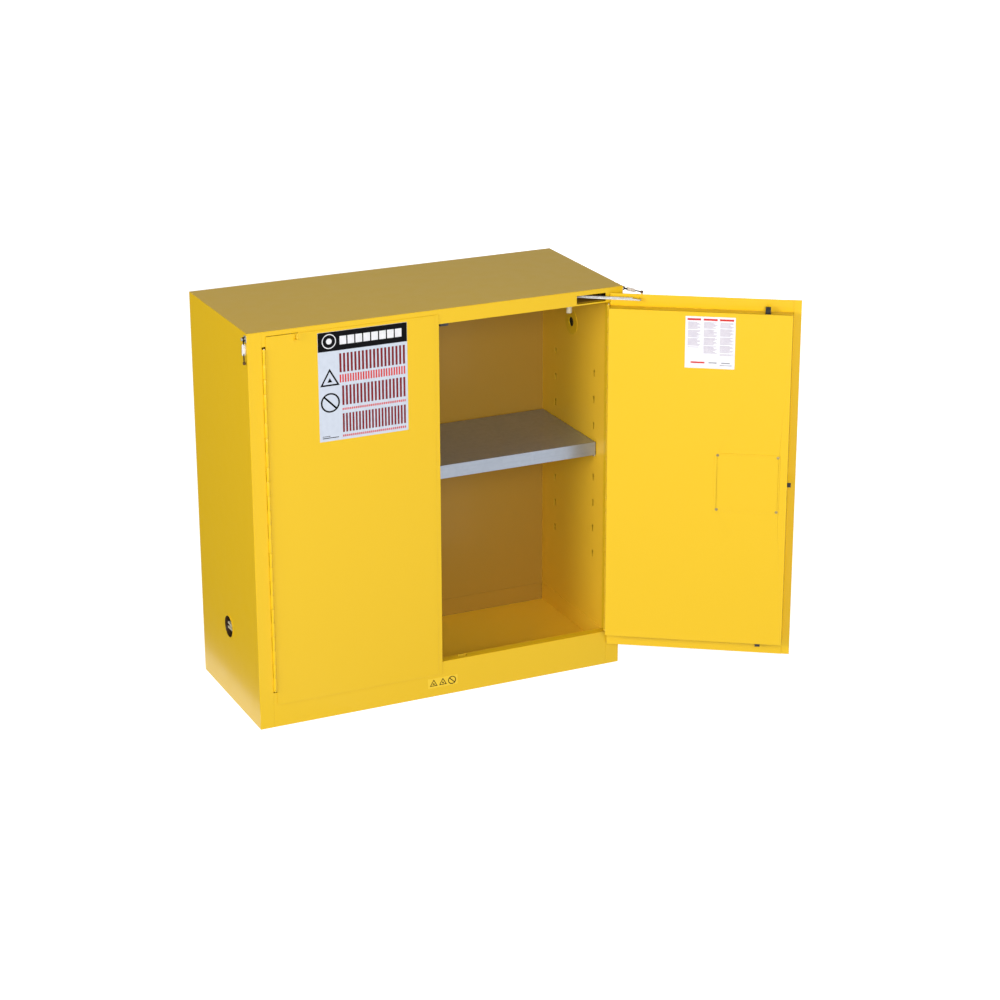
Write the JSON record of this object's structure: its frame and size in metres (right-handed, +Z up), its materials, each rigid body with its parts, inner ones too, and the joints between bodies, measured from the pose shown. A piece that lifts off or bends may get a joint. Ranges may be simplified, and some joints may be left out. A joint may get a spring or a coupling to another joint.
{
  "type": "flammable storage cabinet",
  "caption": "Double-walled steel safety cabinet for flammable liquids, with two self-closing hinged doors, a latch, an adjustable shelf, vents and a leakproof sill.",
  "frame": {"origin": "centre of the bottom sheet's underside", "axes": "+X to the right seen from the front, +Y from the doors to the back, +Z up"},
  "size_m": [1.4946, 0.7731, 1.118],
  "materials": {
    "yellow_paint": "gloss",
    "inner_paint": "gloss",
    "galvanised_steel": "satin",
    "zinc_plated_steel": "satin",
    "black_steel": "satin",
    "black_handle": "satin",
    "label_film": "satin",
    "fusible_alloy": "satin",
    "sequence_bar": "satin"
  },
  "bodies": {
    "cabinet": {"side_panel_left": "yellow_paint", "side_panel_right": "yellow_paint", "back_panel": "yellow_paint", "top_panel": "yellow_paint", "bottom_panel": "yellow_paint", "header_rail": "yellow_paint", "sill_panel": "yellow_paint", "liner_left": "inner_paint", "liner_right": "inner_paint", "liner_back": "inner_paint", "liner_ceiling": "inner_paint", "sump_pan": "inner_paint", "wall_spacers": "yellow_paint", "foot_brackets": "galvanised_steel", "shelf": "galvanised_steel", "shelf_clips": "zinc_plated_steel", "vent_housings": "yellow_paint", "vent_screens": "zinc_plated_steel", "ground_stud": "zinc_plated_steel", "hinge_leaves_body": "yellow_paint", "hinge_pins": "zinc_plated_steel", "closer_tubes": "zinc_plated_steel", "link_anchors": "zinc_plated_steel", "base_label": "label_film", "coordinator_bracket": "zinc_plated_steel"},
    "left_door": {"door_skin_left": "yellow_paint", "door_pan_left": "yellow_paint", "hinge_leaf_door_left": "yellow_paint", "closer_bracket_left": "zinc_plated_steel", "link_keeper_left": "yellow_paint", "front_label": "label_film"},
    "right_door": {"door_skin_right": "yellow_paint", "door_pan_right": "yellow_paint", "hinge_leaf_door_right": "yellow_paint", "closer_bracket_right": "zinc_plated_steel", "link_keeper_right": "yellow_paint", "astragal": "yellow_paint", "latch_cover": "yellow_paint", "cover_screws": "zinc_plated_steel", "pull_handle": "black_handle", "instruction_label": "label_film"},
    "leveling_foot_1": {"leveling_foot_1": "zinc_plated_steel"},
    "leveling_foot_2": {"leveling_foot_2": "zinc_plated_steel"},
    "leveling_foot_3": {"leveling_foot_3": "zinc_plated_steel"},
    "leveling_foot_4": {"leveling_foot_4": "zinc_plated_steel"},
    "vent_bung_left": {"vent_bung_left": "zinc_plated_steel"},
    "vent_bung_right": {"vent_bung_right": "zinc_plated_steel"},
    "closer_arm_left": {"closer_arm_left": "zinc_plated_steel"},
    "closer_arm_right": {"closer_arm_right": "zinc_plated_steel"},
    "closer_rod_left": {"closer_rod_left": "zinc_plated_steel"},
    "closer_rod_right": {"closer_rod_right": "zinc_plated_steel"},
    "fusible_link_left": {"fusible_link_left": "fusible_alloy"},
    "fusible_link_right": {"fusible_link_right": "fusible_alloy"},
    "handle_paddle": {"handle_paddle": "black_handle"},
    "latch_cam": {"latch_cam": "zinc_plated_steel"},
    "top_bolt_rod": {"top_bolt_rod": "black_steel"},
    "bottom_bolt_rod": {"bottom_bolt_rod": "black_steel"},
    "centre_bolt": {"centre_bolt": "black_steel"},
    "key_plug": {"key_plug": "zinc_plated_steel"},
    "coordinator_bar": {"coordinator_bar": "sequence_bar"}
  },
  "joints": [
    {"name": "leveling_foot_1_screw", "type": "slide", "parent": "cabinet", "child": "leveling_foot_1", "axis": [0, 0, 1], "range_m": [-0.02, 0]},
    {"name": "leveling_foot_2_screw", "type": "slide", "parent": "cabinet", "child": "leveling_foot_2", "axis": [0, 0, 1], "range_m": [-0.02, 0]},
    {"name": "leveling_foot_3_screw", "type": "slide", "parent": "cabinet", "child": "leveling_foot_3", "axis": [0, 0, 1], "range_m": [-0.02, 0]},
    {"name": "leveling_foot_4_screw", "type": "slide", "parent": "cabinet", "child": "leveling_foot_4", "axis": [0, 0, 1], "range_m": [-0.02, 0]},
    {"name": "vent_bung_left_turn", "type": "hinge", "parent": "cabinet", "child": "vent_bung_left", "pos_m": [-0.53, 0.004, 0.217], "axis": [-1, 0, 0], "continuous": true},
    {"name": "vent_bung_right_turn", "type": "hinge", "parent": "cabinet", "child": "vent_bung_right", "pos_m": [0.53, 0.007, 0.96], "axis": [1, 0, 0], "continuous": true},
    {"name": "left_door_hinge", "type": "hinge", "parent": "cabinet", "child": "left_door", "pos_m": [-0.501, -0.231, 0.589], "axis": [0, 0, 1], "range_deg": [-146, 0]},
    {"name": "right_door_hinge", "type": "hinge", "parent": "cabinet", "child": "right_door", "pos_m": [0.501, -0.231, 0.589], "axis": [0, 0, 1], "range_deg": [-146, 0]},
    {"name": "closer_arm_left_pivot", "type": "hinge", "parent": "left_door", "child": "closer_arm_left", "pos_m": [-0.417, -0.219, 1.0915], "axis": [0, 0, 1], "range_deg": [0, 91.31]},
    {"name": "closer_arm_right_pivot", "type": "hinge", "parent": "right_door", "child": "closer_arm_right", "pos_m": [0.56393, -0.28792, 1.0915], "axis": [0, 0, 1], "range_deg": [0, 91.31]},
    {"name": "closer_rod_left_slide", "type": "slide", "parent": "cabinet", "child": "closer_rod_left", "axis": [0, 1, 0], "range_m": [-0.1451, 0]},
    {"name": "closer_rod_right_slide", "type": "slide", "parent": "cabinet", "child": "closer_rod_right", "axis": [0, 1, 0], "range_m": [0, 0.1451]},
    {"name": "fusible_link_left_swing", "type": "hinge", "parent": "cabinet", "child": "fusible_link_left", "pos_m": [-0.5514, -0.218, 1.102], "axis": [1, 0, 0], "range_deg": [-30, 60]},
    {"name": "fusible_link_right_swing", "type": "hinge", "parent": "cabinet", "child": "fusible_link_right", "pos_m": [0.5514, -0.216, 1.108], "axis": [-0.8988, -0.4384, 0], "range_deg": [0, 90]},
    {"name": "handle_paddle_pull", "type": "hinge", "parent": "right_door", "child": "handle_paddle", "pos_m": [0.83186, -0.4397, 0.63], "axis": [0.829, -0.5592, 0], "range_deg": [0, 8], "stiffness_Nm_per_rad": 3, "springref_deg": -5.73},
    {"name": "latch_cam_turn", "type": "hinge", "parent": "right_door", "child": "latch_cam", "pos_m": [0.81224, -0.4688, 0.586], "axis": [0.5592, 0.829, 0], "range_deg": [0, 31.24]},
    {"name": "top_bolt_slide", "type": "slide", "parent": "right_door", "child": "top_bolt_rod", "axis": [0, 0, 1], "range_m": [-0.01401, 0]},
    {"name": "bottom_bolt_slide", "type": "slide", "parent": "right_door", "child": "bottom_bolt_rod", "axis": [0, 0, 1], "range_m": [0, 0.01401]},
    {"name": "centre_bolt_slide", "type": "slide", "parent": "right_door", "child": "centre_bolt", "axis": [-0.829, 0.5592, 0], "range_m": [0, 0.01401]},
    {"name": "key_turn", "type": "hinge", "parent": "right_door", "child": "key_plug", "pos_m": [0.82795, -0.4455, 0.507], "axis": [0.5592, 0.829, 0], "range_deg": [0, 90]},
    {"name": "coordinator_swing", "type": "hinge", "parent": "cabinet", "child": "coordinator_bar", "pos_m": [0.452, -0.176, 1.07], "axis": [0, 0, 1], "range_deg": [0, 1.2]}
  ],
  "couplings": [
    {"joint": "closer_arm_left_pivot", "follows": "left_door_hinge", "ratio": -0.62534},
    {"joint": "closer_arm_right_pivot", "follows": "right_door_hinge", "ratio": -0.62534},
    {"joint": "closer_rod_left_slide", "follows": "left_door_hinge", "m_per_rad": 0.056903},
    {"joint": "closer_rod_right_slide", "follows": "right_door_hinge", "m_per_rad": -0.056903},
    {"joint": "latch_cam_turn", "follows": "handle_paddle_pull", "ratio": 3.9046},
    {"joint": "top_bolt_slide", "follows": "handle_paddle_pull", "m_per_rad": -0.10027},
    {"joint": "bottom_bolt_slide", "follows": "handle_paddle_pull", "m_per_rad": 0.10027},
    {"joint": "centre_bolt_slide", "follows": "handle_paddle_pull", "m_per_rad": 0.10027}
  ]
}
